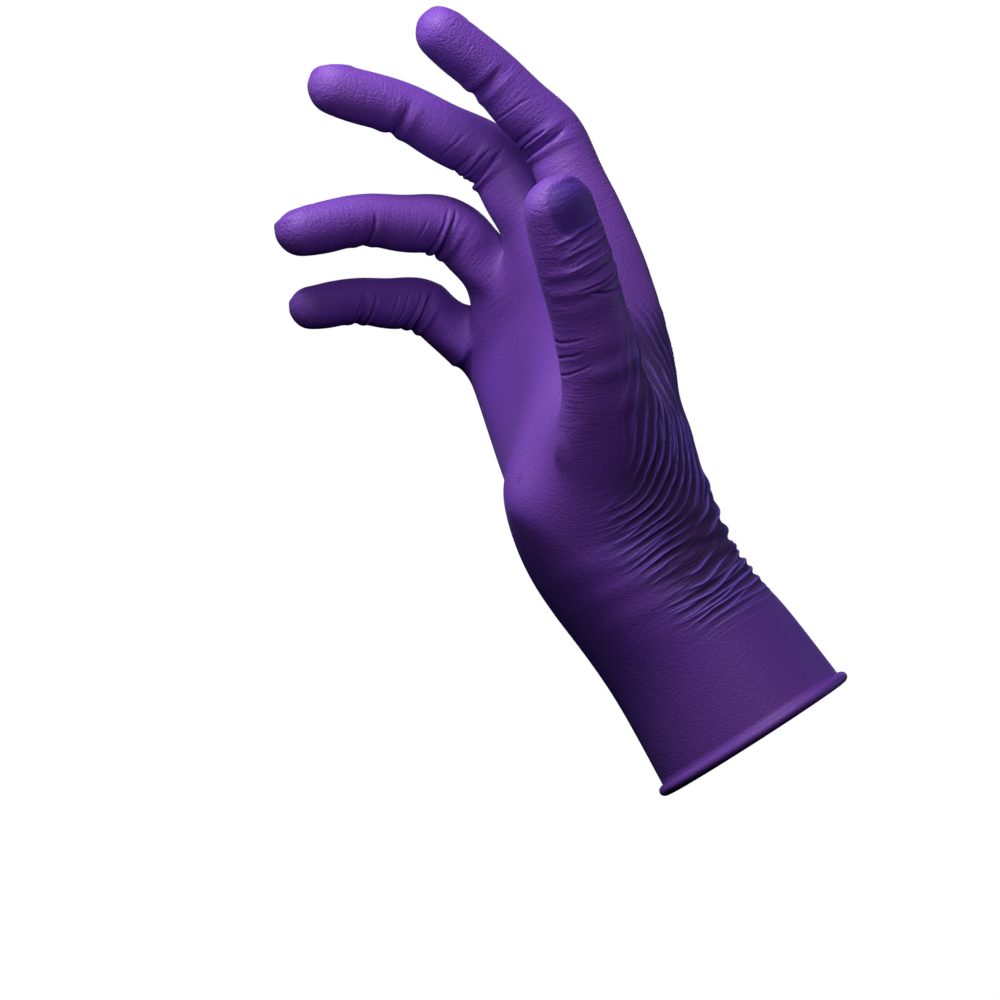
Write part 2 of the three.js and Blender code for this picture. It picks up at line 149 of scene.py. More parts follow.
hand = {
    "wrist": (0, 0, 52), "lean": 17.8, "turn": 3, "width": 80, "depth": 30, "length": 88,
    "fingerLength": 103, "fingerWidth": 18.5, "thumbLength": 104, "thumbWidth": 21,
    "digitReach": 1.9,  # half widths from a bone, beyond which a point lies on the hand
}

# Roots are shares of the hand's width, depth and length, bone lengths are shares of the digit's
digits = {
    "little": {"root": (-0.42, -0.1, 0.87), "width": 0.86, "turns": (0, -3, -2),
               "shares": (0.33, 0.204, 0.2), "bends": (44, 34, 10)},
    "ring": {"root": (-0.2, 0.12, 0.965), "width": 0.97, "turns": (0, 2.5, -5),
             "shares": (0.408, 0.257, 0.262), "bends": (38, 39, 14)},
    "middle": {"root": (0.03, 0.1, 1), "width": 1, "turns": (0, -2, -4),
               "shares": (0.447, 0.291, 0.274), "bends": (18.3, 33.3, 12)},
    "index": {"root": (0.29, 0.06, 0.98), "width": 1, "turns": (0, 1, 3),
              "shares": (0.413, 0.233, 0.258), "bends": (10, 26, 6)},
    "thumb": {"root": (0.25, -0.33, 0.18), "width": 1, "turns": (19, 29, -98),
              "shares": (0.433, 0.308, 0.259), "bends": (0, 3, -3)},
}


def turned(axis, degrees):
    return Matrix.Rotation(math.radians(degrees), 3, axis)


def digitBones(name):
    digit = digits[name]
    handTurn = turned("X", -hand["lean"]) @ turned("Y", hand["turn"])
    across, behind, along = digit["root"]
    inHand = Vector((across * hand["width"], behind * hand["depth"], along * hand["length"]))
    joint = handTurn @ inHand + Vector(hand["wrist"])
    lean, splay, twist = digit["turns"]
    turn = handTurn @ turned("X", lean) @ turned("Y", splay) @ turned("Z", twist)
    length = hand["thumbLength"] if name == "thumb" else hand["fingerLength"]
    bones = []
    for share, bend in zip(digit["shares"], digit["bends"]):
        turn = turn @ turned("X", bend)
        tip = joint + turn @ Vector((0, 0, share * length))
        bones.append({"from": joint * mm, "to": tip * mm, "turn": turn.copy()})
        joint = tip
    return bones


bones = {name: digitBones(name) for name in digits}


def digitWidth(name):
    base = hand["thumbWidth"] if name == "thumb" else hand["fingerWidth"]
    return digits[name]["width"] * base * mm


# Which digit each point lies on: the one with the nearest bone, measured in the digit's half widths
def nearestDigit(points):
    best = np.full(len(points), np.inf)
    owner = np.full(len(points), "", dtype=object)
    for name in digits:
        for bone in bones[name]:
            start, end = np.array(bone["from"]), np.array(bone["to"])
            along = end - start
            share = np.clip((points - start) @ along / (along @ along), 0, 1)
            away = np.linalg.norm(points - start - share[:, None] * along, axis=1)
            away = away / (digitWidth(name) / 2)
            closer = away < best
            best[closer] = away[closer]
            owner[closer] = name
    owner[best > hand["digitReach"]] = ""
    return owner


def inFrame(points, origin, turn):
    return (points - np.array(origin)) @ np.array(turn)


# The film: outside, rolled bead and inside are parted, made finer and joined again

film = {
    "weldWithin": 0.01 * mm,
    "joinWithin": 0.3 * mm,
    "beadTop": 3.09 * mm,
    "beadHighest": 10 * mm,  # the bead is the one part that lies wholly below this
    "levels": 2,
    "cageRounds": 2, "letOut": 0.8,
    "inward": 0.8 * mm, "inwardFrom": 6 * mm, "inwardFull": 16 * mm,
    "easeFactor": 0.5,
    "eased": [
        {"centre": (27, -20, 101), "reach": 25, "rounds": 2},
        {"centre": (27, -20, 101), "reach": 20, "rounds": 3},
        {"centre": (27, -20, 101), "reach": 15, "rounds": 4},
    ],
}


def copyOfNode(name):
    node = frame["nodes"][name]
    piece = node.copy()
    piece.data = node.data.copy()
    piece.parent = None
    piece.name = "gloveFilm"
    scene.collection.objects.link(piece)
    only(piece)
    bpy.ops.object.mode_set(mode="EDIT")
    bpy.ops.mesh.select_all(action="SELECT")
    bpy.ops.mesh.remove_doubles(threshold=film["weldWithin"])
    bpy.ops.mesh.tris_convert_to_quads(
        face_threshold=math.pi, shape_threshold=math.pi, topology_influence=2)
    bpy.ops.object.mode_set(mode="OBJECT")
    return piece


def partFilm(piece):
    before = set(scene.objects)
    selectFaces(piece, faceCentres(piece)[:, 2] < film["beadTop"])
    bpy.ops.object.mode_set(mode="EDIT")
    bpy.ops.mesh.select_mode(type="FACE")
    bpy.ops.mesh.separate(type="SELECTED")
    bpy.ops.mesh.select_all(action="SELECT")
    bpy.ops.mesh.separate(type="LOOSE")
    bpy.ops.object.mode_set(mode="OBJECT")
    parts = [piece] + [o for o in scene.objects if o not in before]

    # The bead goes last, and the outside is wider than the inside
    def order(part):
        points = pointsOf(part)
        return points[:, 2].max() < film["beadHighest"], -np.ptp(points[:, 0])

    return sorted(parts, key=order)


# Subdivision draws a shape in, so its cage is first let out until the fine surface
# meets the solid's own points
def refine(piece, levels):
    only(piece)
    piece.modifiers.clear()
    finer = piece.modifiers.new("finer", "SUBSURF")
    finer.levels = finer.render_levels = levels
    finer.boundary_smooth = "ALL"
    wanted = pointsOf(piece)
    for _ in range(film["cageRounds"]):
        fine = piece.evaluated_get(bpy.context.evaluated_depsgraph_get())
        reached = pointsOf(fine)[:len(wanted)]
        setPoints(piece, pointsOf(piece) + film["letOut"] * (wanted - reached))
    bpy.ops.object.modifier_apply(modifier="finer")


# The inside keeps clear of the creases, which are pressed into the outside
def drawInward(piece):
    points = pointsOf(piece)
    share = smoothStep(points[:, 2], film["inwardFrom"], film["inwardFull"])
    setPoints(piece, points + normalsOf(piece) * (film["inward"] * share)[:, None])


# The step between the palm and the ball of the thumb is eased into a softer one
def easeNear(piece, centre, reach, rounds):
    only(piece)
    away = np.linalg.norm(pointsOf(piece) - np.array(centre) * mm, axis=1)
    bpy.ops.object.mode_set(mode="EDIT")
    bpy.ops.mesh.select_mode(type="VERT")
    bpy.ops.mesh.select_all(action="DESELECT")
    bpy.ops.object.mode_set(mode="OBJECT")
    piece.data.vertices.foreach_set("select", away < reach * mm)
    bpy.ops.object.mode_set(mode="EDIT")
    bpy.ops.mesh.vertices_smooth(factor=film["easeFactor"], repeat=rounds)
    bpy.ops.object.mode_set(mode="OBJECT")


def cutFiner(piece, wanted):
    only(piece)
    selectFaces(piece, wanted)
    bpy.ops.object.mode_set(mode="EDIT")
    bpy.ops.mesh.select_mode(type="FACE")
    bpy.ops.mesh.subdivide(number_cuts=1, smoothness=0.0)
    bpy.ops.object.mode_set(mode="OBJECT")


def faceMeans(piece, values):
    corners = np.zeros(len(piece.data.loops), int)
    piece.data.loops.foreach_get("vertex_index", corners)
    starts = np.zeros(len(piece.data.polygons), int)
    piece.data.polygons.foreach_get("loop_start", starts)
    sizes = np.zeros(len(piece.data.polygons), int)
    piece.data.polygons.foreach_get("loop_total", sizes)
    return np.add.reduceat(values[corners], starts) / sizes


glove = copyOfNode("glove")
outside, inside, bead = partFilm(glove)
for place in film["eased"]:
    easeNear(outside, **place)
for part in (outside, bead):
    refine(part, film["levels"])
drawInward(inside)
print("film made finer:", [len(part.data.polygons) for part in (outside, inside, bead)])


# Gathers of loose film at the ball of the thumb, the back of the hand and the wrist

# They run round a line along the thumb and turn into rings near the cuff. Lengths here are in mm.
gathers = {
    "from": (66, -16, 131), "to": (32, -18, 98),
    "clear": 10, "full": 24,  # no gathers nearer the line than clear, all of their height from full
    "height": 0.8, "cuffEnd": (26, 44), "handEnd": (104, 124),
    "faces": (0.83, 0.5, -0.25), "facing": (0.05, 0.7),  # the side of the hand that has gathers
    "ringsFrom": 99, "ringsShare": 0.75, "ringsEnd": (40, 82),
    "bendSize": 17, "smallBendSize": 6, "smallBend": 0.3,
    "patchSize": 14, "patchGain": 1.7,
    "profile": [{"height": 0.8, "width": 0.5}, {"height": 0.35, "width": 1.0}],
    "layers": [
        {"pitch": 2.5, "stretch": 1, "wander": 1.5, "least": 0.7, "share": 1},
        {"pitch": 3.4, "stretch": 0.96, "wander": 2.6, "least": 0.45, "share": 0.85},
    ],
}


def heightStep(points, ends):
    return smoothStep(points[:, 2], ends[0] * mm, ends[1] * mm)


def lineDistance(points, start, end):
    start, end = np.array(start) * mm, np.array(end) * mm
    along = end - start
    share = np.clip((points - start) @ along / (along @ along), 0, 1)
    return np.linalg.norm(points - start - share[:, None] * along, axis=1)


def gatherFlow(points):
    roundBall = lineDistance(points, gathers["from"], gathers["to"])
    rings = gathers["ringsFrom"] * mm - points[:, 2]
    share = gathers["ringsShare"] * (1 - heightStep(points, gathers["ringsEnd"]))
    return roundBall * (1 - share) + rings * share


def gatherPlace(points, normals, owner):
    away = lineDistance(points, gathers["from"], gathers["to"])
    level = smoothStep(away, gathers["clear"] * mm, gathers["full"] * mm)
    low = heightStep(points, gathers["cuffEnd"])
    side = smoothStep(normals @ np.array(gathers["faces"]), *gathers["facing"])
    top = 1 - heightStep(points, gathers["handEnd"])
    level = level * low * side * top
    level[(owner != "") & (owner != "thumb")] = 0
    return level


# Each layer of lines has a phase, which is whole on a crest, and a strength
def gatherLines(points):
    flow = gatherFlow(points) / mm
    lines = []
    for seed, layer in enumerate(gathers["layers"]):
        bend = layer["wander"] * wander(points, gathers["bendSize"] * mm, seed + 1)
        bend += gathers["smallBend"] * wander(points, gathers["smallBendSize"] * mm, seed + 11)
        patches = gathers["patchGain"] * wander(points, gathers["patchSize"] * mm, seed + 21)
        strong = np.clip(layer["least"] + patches, 0, 1) * layer["share"]
        lines.append(((flow * layer["stretch"] + bend) / layer["pitch"], strong))
    return lines


def gatherHeight(points, level):
    total = np.zeros(len(points))
    for layer, (phase, strong) in zip(gathers["layers"], gatherLines(points)):
        away = np.abs(phase - np.round(phase)) * layer["pitch"]
        crest = sum(part["height"] * np.exp(-((away / part["width"]) ** 2))
                    for part in gathers["profile"])
        total = np.maximum(total, crest * strong)
    return total * level * gathers["height"] * mm


# Creases across the digits

# Each starts at a joint: past is how far along in mm, middle and reach are degrees round the digit
# (-90 is the middle of the pad, 90 of the back), tilt and arch bend it in mm over its reach.
# A crease with a depth below 0 is a ridge.
creaseGroups = [
    {"on": "index", "joint": 1, "rows": [
        {"past": -1.0, "tilt": 0.5, "middle": -82, "reach": 72, "depth": 0.95, "width": 0.43},
        {"past": 2.0, "tilt": 0.5, "middle": -85, "reach": 50, "depth": 0.7, "width": 0.39},
        {"past": 4.3, "tilt": 0.2, "middle": -92, "reach": 36, "depth": 0.4, "width": 0.35},
        {"past": 12.4, "tilt": -0.2, "middle": -68, "reach": 42, "depth": 0.22, "width": 0.31},
    ]},
    {"on": "index", "joint": 2, "rows": [
        {"past": 0.8, "tilt": 0.3, "middle": -80, "reach": 70, "depth": 0.32, "width": 0.90},
    ]},
    {"on": "middle", "joint": 1, "rows": [
        {"past": -1.2, "tilt": 0.5, "middle": -78, "reach": 78, "depth": 1.05, "width": 0.47},
        {"past": 2.1, "tilt": 0.0, "middle": -82, "reach": 64, "depth": 0.75, "width": 0.43},
        {"past": 4.9, "tilt": -0.2, "middle": -90, "reach": 40, "depth": 0.4, "width": 0.35},
        {"past": 10.5, "tilt": -0.3, "middle": -60, "reach": 34, "depth": 0.2, "width": 0.31},
    ]},
    {"on": "middle", "joint": 2, "rows": [
        {"past": -0.3, "tilt": 0.2, "middle": -75, "reach": 72, "depth": 0.36, "width": 0.81},
    ]},
    {"on": "ring", "joint": 1, "rows": [
        {"past": 0.4, "tilt": 1.1, "middle": -66, "reach": 84, "depth": 0.95, "width": 0.43},
        {"past": 3.0, "tilt": 0.5, "middle": -62, "reach": 74, "depth": 0.6, "width": 0.39},
        {"past": 8.5, "tilt": -0.3, "middle": -60, "reach": 34, "depth": 0.2, "width": 0.31},
    ]},
    {"on": "ring", "joint": 2, "rows": [
        {"past": -0.3, "tilt": -0.3, "middle": -72, "reach": 76, "depth": 0.95, "width": 0.39},
    ]},
    {"on": "little", "joint": 1, "rows": [
        {"past": 0.7, "tilt": -0.5, "middle": -66, "reach": 78, "depth": 0.9, "width": 0.43},
        {"past": 3.3, "tilt": -0.4, "middle": -60, "reach": 60, "depth": 0.45, "width": 0.35},
        {"past": 6.6, "tilt": -0.2, "middle": -55, "reach": 46, "depth": 0.3, "width": 0.31},
        {"past": 9.4, "tilt": 0.2, "middle": -60, "reach": 40, "depth": 0.25, "width": 0.31},
    ]},
    {"on": "little", "joint": 2, "rows": [
        {"past": -2.2, "tilt": -1.4, "middle": -72, "reach": 66, "depth": 0.85, "width": 0.39},
        {"past": 2.4, "tilt": -0.6, "middle": -70, "reach": 44, "depth": 0.35, "width": 0.35},
    ]},
    {"on": "thumb", "joint": 2, "rows": [
        {"past": 12.4, "tilt": 0.7, "arch": -1.2,
         "middle": 92, "reach": 66, "depth": -0.55, "width": 0.6},
        {"past": 10.1, "tilt": 1.0, "arch": -1.2,
         "middle": 100, "reach": 56, "depth": -0.4, "width": 0.5},
        {"past": 7.9, "tilt": 0.5, "arch": -1.0,
         "middle": 96, "reach": 64, "depth": -0.5, "width": 0.6},
        {"past": 5.7, "tilt": 0.9, "arch": -0.8,
         "middle": 104, "reach": 52, "depth": -0.35, "width": 0.5},
        {"past": 3.7, "tilt": 0.3, "arch": -0.6,
         "middle": 94, "reach": 56, "depth": -0.35, "width": 0.5},
        {"past": 1.4, "tilt": 0.5, "arch": -0.4,
         "middle": 100, "reach": 40, "depth": -0.22, "width": 0.45},
        {"past": -3.0, "tilt": 0.4, "arch": 0.4,
         "middle": 96, "reach": 46, "depth": 0.45, "width": 0.39},
        {"past": -6.6, "tilt": -2.0, "arch": 0.6,
         "middle": 104, "reach": 40, "depth": 0.5, "width": 0.39},
    ]},
    {"on": "thumb", "joint": 1, "rows": [
        {"past": 14.4, "tilt": 0.8, "middle": 6, "reach": 40, "depth": 0.45, "width": 0.35},
        {"past": 10.2, "tilt": 1.6, "middle": 4, "reach": 36, "depth": 0.35, "width": 0.35},
        {"past": 5.6, "tilt": 2.4, "middle": 8, "reach": 40, "depth": 0.3, "width": 0.35},
    ]},
    {"on": "thumb", "joint": 2, "rows": [
        {"past": 1.0, "tilt": 0.3, "middle": -88, "reach": 60, "depth": 0.5, "width": 0.63},
    ]},
]
creases = [dict(row, on=group["on"], joint=group["joint"])
           for group in creaseGroups for row in group["rows"]]
creaseEdge = {
    "wobble": 0.45, "wobbleSize": 5, "seed": 30, "fadeOver": 0.5, "seenFrom": 0.05,
    "lipHeight": 0.16, "lipAway": 2.4, "lipWidth": 1.5,  # the film rises beside a crease
}


def jointFrame(name, number):
    chain = bones[name]
    half = turned("X", digits[name]["bends"][number] / 2)
    return chain[number]["from"], chain[number - 1]["turn"] @ half


def roundDigit(local):
    return np.degrees(np.arctan2(local[:, 1], local[:, 0]))


def creaseShape(points, owner, crease):
    joint, turn = jointFrame(crease["on"], crease["joint"])
    local = inFrame(points, joint, turn) / mm
    around = (roundDigit(local) - crease["middle"] + 180) % 360 - 180
    share = around / crease["reach"]
    bend = crease["tilt"] * share + crease.get("arch", 0) * share ** 2
    seed = crease["past"] + creaseEdge["seed"]
    wobble = wander(points, creaseEdge["wobbleSize"] * mm, seed)
    away = np.abs(local[:, 2] - crease["past"] - bend - creaseEdge["wobble"] * wobble)
    fade = smoothStep(1 - np.abs(share), 0, creaseEdge["fadeOver"])
    fade[(owner != crease["on"]) | (np.abs(share) > 1)] = 0
    return away / crease["width"], fade


def creaseRise(points, owner):
    total = np.zeros(len(points))
    for crease in creases:
        away, fade = creaseShape(points, owner, crease)
        groove = -np.exp(-(away ** 2))
        fromLip = (away - creaseEdge["lipAway"]) / creaseEdge["lipWidth"]
        lips = creaseEdge["lipHeight"] * np.exp(-(fromLip ** 2))
        total += crease["depth"] * mm * fade * (groove + lips)
    return total


def creaseNear(points, owner, within):
    near = np.zeros(len(points))
    for crease in creases:
        away, fade = creaseShape(points, owner, crease)
        seen = fade > creaseEdge["seenFrom"]
        near = np.maximum(near, seen * (away * crease["width"] < within))
    return near


# Nail plates, which the film is stretched over

# past is where a plate's middle lies, in mm back from the end of the digit's last bone
nails = {
    "thumb": {
        "past": 8.0, "aside": -0.6, "halfLength": 7.6, "halfWidth": 7.2,
        "top": 7.5, "curve": 15, "fall": 0.02, "rise": 0.9,
    },
    "index": {
        "past": 6.5, "aside": 0, "halfLength": 5.6, "halfWidth": 5.8,
        "top": 6.4, "curve": 12, "fall": 0.025, "rise": 0.5,
    },
    "middle": {
        "past": 6.5, "aside": 0, "halfLength": 5.8, "halfWidth": 6.0,
        "top": 6.5, "curve": 12, "fall": 0.025, "rise": 0.5,
    },
    "ring": {
        "past": 6.3, "aside": 0, "halfLength": 5.6, "halfWidth": 5.7,
        "top": 6.3, "curve": 12, "fall": 0.025, "rise": 0.5,
    },
    "little": {
        "past": 5.6, "aside": 0, "halfLength": 4.8, "halfWidth": 4.9,
        "top": 5.5, "curve": 10, "fall": 0.03, "rise": 0.4,
    },
}
nailEdge = {
    "power": 2.6, "within": 1.6, "sunk": 0.2,
    "proudTo": 1.08, "proudOver": 0.18, "plateTo": 1.04, "plateOver": 0.16,
    "grooveAt": 1.14, "grooveWidth": 0.08, "grooveDepth": 0.12,
}


# How far out from a plate's middle a point lies: 1 is on its rim
def rimShare(across, along, nail):
    power = nailEdge["power"]
    wide = (np.abs(across) / nail["halfWidth"]) ** power
    long = (np.abs(along) / nail["halfLength"]) ** power
    return (wide + long) ** (1 / power)


def nailRise(points, owner):
    total, plates = np.zeros(len(points)), np.zeros(len(points))
    for name, nail in nails.items():
        bone = bones[name][-1]
        local = inFrame(points, bone["to"], bone["turn"]) / mm
        across = local[:, 0] - nail["aside"]
        along = local[:, 2] + nail["past"]
        edge = rimShare(across, along, nail)
        root = along + nail["halfLength"]
        plate = nail["top"] - across ** 2 / (2 * nail["curve"]) - nail["fall"] * root ** 2
        proud = np.clip(plate - local[:, 1], -nailEdge["sunk"], nail["rise"])
        proud *= smoothStep(nailEdge["proudTo"] - edge, 0, nailEdge["proudOver"])
        fromGroove = (edge - nailEdge["grooveAt"]) / nailEdge["grooveWidth"]
        groove = -nailEdge["grooveDepth"] * np.exp(-(fromGroove ** 2))
        here = (owner == name) & (local[:, 1] > 0) & (edge < nailEdge["within"])
        total[here] += (proud + groove)[here] * mm
        plates[here] = smoothStep(nailEdge["plateTo"] - edge, 0, nailEdge["plateOver"])[here]
    return total, plates


# The outside is cut finer under gathers and creases, and again on the creases themselves

cuts = {"gatherLevel": 0.32, "within": 1.6, "nearShare": 0.2, "closeWithin": 0.6, "closeShare": 0.1}

points = pointsOf(outside)
owner = nearestDigit(points)
level = gatherPlace(points, normalsOf(outside), owner)
near = creaseNear(points, owner, cuts["within"])
cutFiner(outside, (faceMeans(outside, level) > cuts["gatherLevel"])
         | (faceMeans(outside, near) > cuts["nearShare"]))
points = pointsOf(outside)
near = creaseNear(points, nearestDigit(points), cuts["closeWithin"])
cutFiner(outside, faceMeans(outside, near) > cuts["closeShare"])
print("outside cut finer:", len(outside.data.polygons), "faces")

points, normals = pointsOf(outside), normalsOf(outside)
owner = nearestDigit(points)
level = gatherPlace(points, normals, owner)
rise = gatherHeight(points, level)
nailHeight, plates = nailRise(points, owner)
rise = rise + creaseRise(points, owner) + nailHeight


# Marks for the finish: the gathers' phases and strengths, and places along and round a digit

# The fine lines across a digit fade out where it joins the hand. Lengths here are in mm.
digitLines = {
    "roundRadius": 8, "tipFrom": -4, "tipFull": 8,
    "thumbStart": 12, "fingerStart": 2, "fadeOver": 24,
}


def addMark(name, columns):
    mark = outside.data.attributes.new(name, "FLOAT_VECTOR", "POINT")
    mark.data.foreach_set("vector", np.column_stack(columns).astype(np.float32).ravel())


def digitMarks(points, owner):
    along, around, tips = (np.zeros(len(points)) for _ in range(3))
    for name, chain in bones.items():
        reached = 0
        for bone in chain:
            local = inFrame(points, bone["from"], bone["turn"]) / mm
            here = (owner == name) & ((bone is chain[0]) | (local[:, 2] > 0))
            along[here] = reached + local[here, 2]
            around[here] = np.radians(roundDigit(local[here])) * digitLines["roundRadius"]
            if bone is chain[-1]:
                ends = digitLines["tipFrom"], digitLines["tipFull"]
                tips[here] = smoothStep(local[here, 2], *ends)
            reached += np.linalg.norm(bone["to"] - bone["from"]) / mm
    return along, around, tips


def crossGrain(along, owner):
    start = np.where(owner == "thumb", digitLines["thumbStart"], digitLines["fingerStart"])
    return smoothStep(along, start, start + digitLines["fadeOver"]) * (owner != "")


(phaseA, strongA), (phaseB, strongB) = gatherLines(points)
addMark("phases", (phaseA, phaseB, gatherFlow(points) / mm))
addMark("strengths", (strongA * level, strongB * level, level))
alongDigit, aroundDigit, tips = digitMarks(points, owner)
addMark("digit", (alongDigit, aroundDigit, tips))
# The first column marks the thumb's nail plate, where the finish paints shade
addMark("plates", (plates * (owner == "thumb"), plates, crossGrain(alongDigit, owner)))
setPoints(outside, points + normals * rise[:, None])
print("film shaped")


# The inside's open ring is cut as finely as the outside's and the bead's, then all are joined
def joinFilm():
    only(inside)
    bpy.ops.object.mode_set(mode="EDIT")
    bpy.ops.mesh.select_mode(type="VERT")
    bpy.ops.mesh.select_all(action="DESELECT")
    bpy.ops.mesh.select_non_manifold()
    bpy.ops.mesh.subdivide(number_cuts=2 ** film["levels"] - 1)
    bpy.ops.object.mode_set(mode="OBJECT")
    only(outside)
    inside.select_set(True)
    bead.select_set(True)
    bpy.ops.object.join()
    bpy.ops.object.mode_set(mode="EDIT")
    bpy.ops.mesh.select_all(action="DESELECT")
    bpy.ops.mesh.select_non_manifold()
    bpy.ops.mesh.remove_doubles(threshold=film["joinWithin"])
    bpy.ops.mesh.select_all(action="DESELECT")
    bpy.ops.mesh.select_non_manifold()
    bpy.ops.object.mode_set(mode="OBJECT")
    left = sum(vertex.select for vertex in outside.data.vertices)
    outside.name = "gloveFilm"
    bpy.ops.object.shade_smooth()
    print("film joined, open points:", left, "triangles:",
          sum(len(face.vertices) - 2 for face in outside.data.polygons))
    return outside


glove = joinFilm()


# Shader maths: one class wraps a socket, and an expression on values adds its Math nodes

class Value:
    def __init__(self, material, socket):
        self.material, self.socket = material, socket

    def maths(self, operation, other, swapped=False):
        ends = [self, other][::-1] if swapped else [self, other]
        return self.material.node("ShaderNodeMath", {"operation": operation}, *ends)

    def __add__(self, other): return self.maths("ADD", other)
    def __sub__(self, other): return self.maths("SUBTRACT", other)
    def __rsub__(self, other): return self.maths("SUBTRACT", other, True)
    def __mul__(self, other): return self.maths("MULTIPLY", other)


class Finish:
    def __init__(self, name):
        self.material = bpy.data.materials.new(name)
        self.material.use_nodes = True
        self.tree = self.material.node_tree
        self.shader = self.tree.nodes["Principled BSDF"]
        self.across = 0

    def node(self, kind, settings, *values, out=0):
        node = self.tree.nodes.new(kind)
        for key, setting in settings.items():
            setattr(node, key, setting)
        self.across += 1
        node.location = (-220 * (self.across % 9) - 200, 160 * (self.across // 9))
        for place, value in enumerate(values):
            if value is not None:
                self.feed(node.inputs[place], value)
        return Value(self, node.outputs[out])

    def feed(self, socket, value):
        if isinstance(value, Value):
            self.tree.links.new(value.socket, socket)
        else:
            socket.default_value = value

    def coordinates(self):
        return self.node("ShaderNodeTexCoord", {}, out=3)

    def mark(self, name):
        vector = self.node("ShaderNodeAttribute", {"attribute_name": name}, out=1)
        split = self.node("ShaderNodeSeparateXYZ", {}, vector)
        return [Value(self, split.socket.node.outputs[i]) for i in range(3)]

    def join(self, *values):
        return self.node("ShaderNodeCombineXYZ", {}, *values)

    def noise(self, vector, scale, detail, roughness):
        return self.node("ShaderNodeTexNoise", {}, vector, None, scale, detail, roughness)

    def mix(self, factor, first, second):
        unused = [None] * 5
        return self.node("ShaderNodeMix", {"data_type": "RGBA"},
                         factor, *unused, first, second, out=2)

    def bump(self, strength, distance, height, below=None):
        return self.node("ShaderNodeBump", {}, strength, distance, None, height, below)


# The film's finish: violet, with painted shade darkening the gathers' valleys and the thumb's nail
# plate, and painted highlights on the gathers' crests

skin = {
    "deep": (0.088, 0.028, 0.355, 1), "warm": (0.160, 0.051, 0.33, 1), "toneScale": 22,
    # nail is painted shade: the thumb's nail plate is painted darker and bluer than the rest of the
    # film
    "nail": (0.035, 0.013, 0.20, 1), "nailShadeShare": 0.75,
    # valley is painted shade: the gathers are painted near black away from their crests
    "valleyShade": (0.022, 0.010, 0.050, 1), "valleyShadeShare": 0.75, "valleyShadeClear": 1.5,
    # crest is a painted highlight: the gathers' crests are painted pale blue-violet as if lit
    "crest": (0.24, 0.17, 1, 1), "crestHighlightShare": 0.9, "crestPower": 5,
    "hairPower": 4, "hairPerMm": 0.9, "hairDrift": 2.4, "driftScale": 160, "patchScale": 220,
    "grain": 1600, "grainShare": 0.5, "fine": 3400, "fineShare": 0.25,
    "handGrain": 0.5, "plateLoss": 0.6,  # grain is weaker off the fingertips and on nail plates
    "acrossPerMm": 1.1, "roundPerMm": 0.22, "depthPerMm": 0.02, "acrossShare": 0.55,
    "bump": 0.8, "grainDepth": 0.0005, "crestDepth": 0.0006, "hairShare": 0.5,
    "roughness": 0.50, "toneRoughness": 0.12, "gatherRoughness": 0.2,
    "sheen": 0.12, "sheenRoughness": 0.4, "sheenTint": (0.35, 0.25, 1, 1),
    "ior": 1.45, "specular": 0.38,
}


# A crest is narrow: the phase runs up and down between whole numbers and is raised to a power
def sharpCrest(phase, strong, power):
    return ((phase + 0.5).maths("PINGPONG", 0.5) * 2).maths("POWER", power) * strong


def filmColour(nitrile, tone, crest, level, thumbPlateShade):
    colour = nitrile.mix(tone, skin["deep"], skin["warm"])
    # Painted shade: the thumb's nail plate is painted darker and bluer
    colour = nitrile.mix(thumbPlateShade * skin["nailShadeShare"], colour, skin["nail"])
    # Painted shade: the gathers are painted near black where they are strong, except on and near
    # their crests
    valleyShade = (level - crest * skin["valleyShadeClear"]).maths("MAXIMUM", 0) * skin["valleyShadeShare"]
    colour = nitrile.mix(valleyShade, colour, skin["valleyShade"])
    # Painted highlight: the gathers' crests are painted pale blue-violet
    return nitrile.mix((crest * skin["crestHighlightShare"]).maths("MINIMUM", 1), colour, skin["crest"])


def filmGrain(nitrile, place, plate, cross):
    along, around, tips = nitrile.mark("digit")
    smooth = {"feature": "SMOOTH_F1"}
    grain = nitrile.node("ShaderNodeTexVoronoi", smooth, place, None, skin["grain"])
    fine = nitrile.noise(place, skin["fine"], 2, 0.6)
    lines = nitrile.join(along * skin["acrossPerMm"], around * skin["roundPerMm"],
                         along * skin["depthPerMm"])
    across = nitrile.noise(lines, 1, 3, 0.6)
    leather = grain * skin["grainShare"] + fine * skin["fineShare"]
    leather = leather * (tips * (1 - skin["handGrain"]) + skin["handGrain"])
    leather = leather * (1 - plate * skin["plateLoss"])
    return leather + across * cross * skin["acrossShare"]


